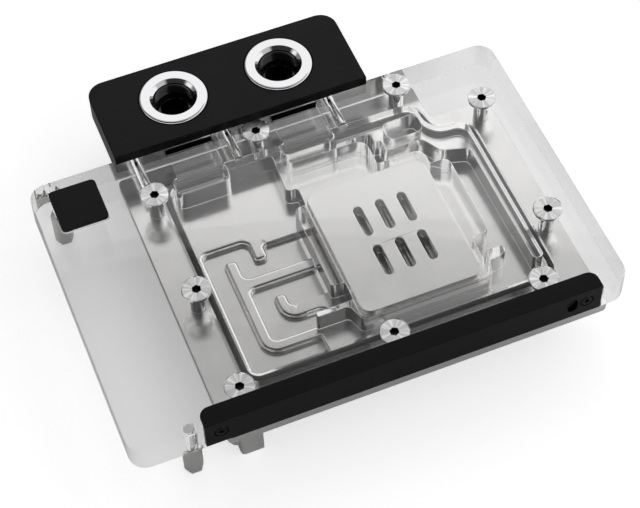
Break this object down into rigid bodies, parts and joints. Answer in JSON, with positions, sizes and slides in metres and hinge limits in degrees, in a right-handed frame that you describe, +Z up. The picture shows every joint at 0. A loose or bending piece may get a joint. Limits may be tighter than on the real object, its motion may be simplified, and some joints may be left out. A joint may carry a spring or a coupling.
{
  "type": "graphics card water block",
  "caption": "Flat liquid cooling block for a graphics card: a clear cover with milled water channels on a nickel plated plate, with a black port terminal and a light bar.",
  "frame": {"origin": "centre of the bounding box in plan, at the level the posts and standoffs stand on", "axes": "+Z up out of the clear cover, +Y towards the port terminal, +X to the right along the light bar"},
  "size_m": [0.15, 0.1254, 0.027],
  "materials": {
    "acrylic": "clear polished acrylic",
    "nickel": "near mirror nickel plating on copper",
    "steel": "fine turned face",
    "chrome": "polished",
    "acetal": "satin black",
    "anodised": "fine bead blasted, black",
    "rubber": "matt",
    "board": "white solder mask"
  },
  "bodies": {
    "root": {"acrylic_cover": "acrylic", "badge_plate": "anodised", "bar_screw_left": "anodised", "bar_screw_right": "anodised", "cold_plate": "nickel", "cover_screw_back": "steel", "cover_screw_back_left": "steel", "cover_screw_back_middle": "steel", "cover_screw_back_right": "steel", "cover_screw_front": "steel", "cover_screw_front_left": "steel", "cover_screw_front_right": "steel", "cover_screw_left": "steel", "cover_screw_right": "steel", "jet_plate": "nickel", "light_bar": "anodised", "light_strip": "board", "main_gasket": "rubber", "port_gasket_left": "rubber", "port_gasket_right": "rubber", "port_ring_left": "chrome", "port_ring_right": "chrome", "standoff_back": "nickel", "standoff_front": "nickel", "terminal_block": "acetal", "terminal_screw_left": "steel", "terminal_screw_middle": "steel", "terminal_screw_right": "steel"}
  },
  "joints": []
}
